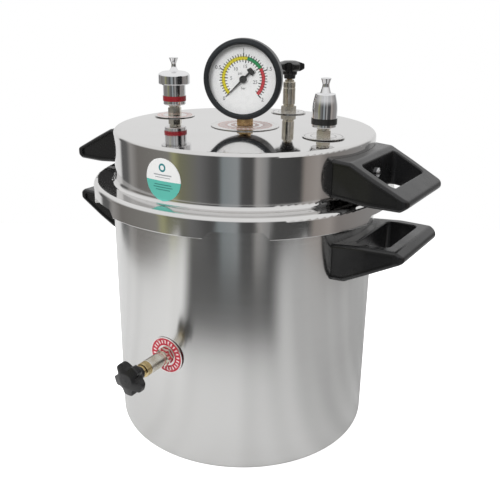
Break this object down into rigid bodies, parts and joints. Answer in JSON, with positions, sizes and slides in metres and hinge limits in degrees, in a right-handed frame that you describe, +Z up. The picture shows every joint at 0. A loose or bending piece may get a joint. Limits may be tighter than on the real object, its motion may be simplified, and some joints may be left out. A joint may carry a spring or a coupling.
{
  "type": "benchtop autoclave",
  "caption": "Cooker-type autoclave: aluminium pot, bayonet lid, loop handles, dial gauge, weight valves, steam release and drain screw valves.",
  "frame": {"origin": "centre of the pot's base, on the surface it stands on", "axes": "+Z up along the pot, X through the handles, -Y towards the drain valve"},
  "size_m": [0.364, 0.327, 0.3806],
  "materials": {
    "pot_aluminium": "fine satin, turned",
    "lid_aluminium": "polished",
    "plain_aluminium": "mill finish",
    "rivet_aluminium": "plain",
    "black_bakelite": "moulded phenolic, semi-gloss",
    "screw_steel": "zinc plated",
    "black_rubber": "moulded",
    "sticker_paper": "white above, teal below, no lettering",
    "label_metal": "printed rings, no lettering",
    "bare_brass": "machined",
    "plated_brass": "nickel plated",
    "gland_brass": "machined and grooved",
    "weight_chrome": "polished",
    "red_silicone": "smooth",
    "black_band_rubber": "smooth",
    "gauge_black": "black enamel",
    "dial_white": "printed scale",
    "pointer_black": "matt black",
    "window_glass": "clear"
  },
  "bodies": {
    "pot_assembly": {"drain_valve_back_nut": "plated_brass", "drain_valve_body": "plated_brass", "drain_valve_gland_nut": "gland_brass", "drain_valve_label_disc": "label_metal", "pot": "pot_aluminium", "pot_bracket_left": "plain_aluminium", "pot_bracket_right": "plain_aluminium", "pot_bracket_rivets": "rivet_aluminium", "pot_handle_left": "black_bakelite", "pot_handle_right": "black_bakelite", "pot_handle_screws": "screw_steel"},
    "lid_assembly": {"band_valve_back_nut": "plated_brass", "band_valve_label_disc": "label_metal", "band_valve_stem": "plated_brass", "cone_valve_back_nut": "plated_brass", "cone_valve_label_disc": "label_metal", "cone_valve_stem": "plated_brass", "gauge_back_nut": "bare_brass", "gauge_bezel": "gauge_black", "gauge_bourdon_tube": "bare_brass", "gauge_case": "gauge_black", "gauge_dial": "dial_white", "gauge_label_disc": "label_metal", "gauge_movement_plates": "bare_brass", "gauge_socket": "bare_brass", "gauge_window": "window_glass", "lid": "lid_aluminium", "lid_bracket_left": "plain_aluminium", "lid_bracket_right": "plain_aluminium", "lid_bracket_rivets": "rivet_aluminium", "lid_gasket": "black_rubber", "lid_handle_left": "black_bakelite", "lid_handle_right": "black_bakelite", "lid_handle_screws": "screw_steel", "lid_sticker": "sticker_paper", "release_valve_back_nut": "plated_brass", "release_valve_body": "plated_brass", "release_valve_gland_nut": "gland_brass", "release_valve_label_disc": "label_metal"},
    "rack": {"rack_plate": "plain_aluminium", "rack_legs": "plain_aluminium"},
    "gauge_sector_arbor": {"gauge_sector": "bare_brass"},
    "gauge_pointer_arbor": {"gauge_pointer": "pointer_black"},
    "band_valve_weight_body": {"band_valve_weight": "weight_chrome", "band_valve_red_band": "red_silicone", "band_valve_cap": "weight_chrome"},
    "cone_valve_weight_body": {"cone_valve_weight": "weight_chrome", "cone_valve_black_band": "black_band_rubber"},
    "release_valve_disc": {"release_valve_jumper": "bare_brass"},
    "release_valve_screw": {"release_valve_spindle": "bare_brass", "release_valve_knob": "black_bakelite"},
    "drain_valve_disc": {"drain_valve_jumper": "bare_brass"},
    "drain_valve_screw": {"drain_valve_spindle": "bare_brass", "drain_valve_knob": "black_bakelite"}
  },
  "joints": [
    {"name": "lid_turn", "type": "hinge", "parent": "pot_assembly", "child": "lid_assembly", "pos_m": [0, 0, 0.25], "axis": [0, 0, 1], "range_deg": [0, 30]},
    {"name": "rack_lift", "type": "slide", "parent": "pot_assembly", "child": "rack", "axis": [0, 0, 1], "range_m": [0, 0.2]},
    {"name": "gauge_sector_turn", "type": "hinge", "parent": "lid_assembly", "child": "gauge_sector_arbor", "pos_m": [0.0015, -0.00371, 0.3303], "axis": [0.3746, -0.9272, 0], "range_deg": [0, 30], "stiffness_Nm_per_rad": 0.002},
    {"name": "gauge_pointer_turn", "type": "hinge", "parent": "lid_assembly", "child": "gauge_pointer_arbor", "pos_m": [0.00412, -0.0102, 0.3443], "axis": [-0.3746, 0.9272, 0], "range_deg": [0, 270]},
    {"name": "band_valve_lift", "type": "slide", "parent": "lid_assembly", "child": "band_valve_weight_body", "axis": [0, 0, 1], "range_m": [0, 0.03]},
    {"name": "cone_valve_lift", "type": "slide", "parent": "lid_assembly", "child": "cone_valve_weight_body", "axis": [0, 0, 1], "range_m": [0, 0.03]},
    {"name": "release_valve_rise", "type": "slide", "parent": "lid_assembly", "child": "release_valve_disc", "axis": [0, 0, 1], "range_m": [0, 0.00125]},
    {"name": "release_valve_turn", "type": "hinge", "parent": "release_valve_disc", "child": "release_valve_screw", "pos_m": [-0.00777, 0.0987, 0.32], "axis": [0, 0, 1], "range_deg": [0, 360]},
    {"name": "drain_valve_rise", "type": "slide", "parent": "pot_assembly", "child": "drain_valve_disc", "axis": [0, -1, 0], "range_m": [0, 0.00125]},
    {"name": "drain_valve_turn", "type": "hinge", "parent": "drain_valve_disc", "child": "drain_valve_screw", "pos_m": [0, -0.14, 0.111], "axis": [0, -1, 0], "range_deg": [0, 360]}
  ],
  "couplings": [
    {"joint": "gauge_pointer_turn", "follows": "gauge_sector_turn", "ratio": 9},
    {"joint": "release_valve_rise", "follows": "release_valve_turn", "m_per_rad": 0.00019894},
    {"joint": "drain_valve_rise", "follows": "drain_valve_turn", "m_per_rad": 0.00019894}
  ]
}
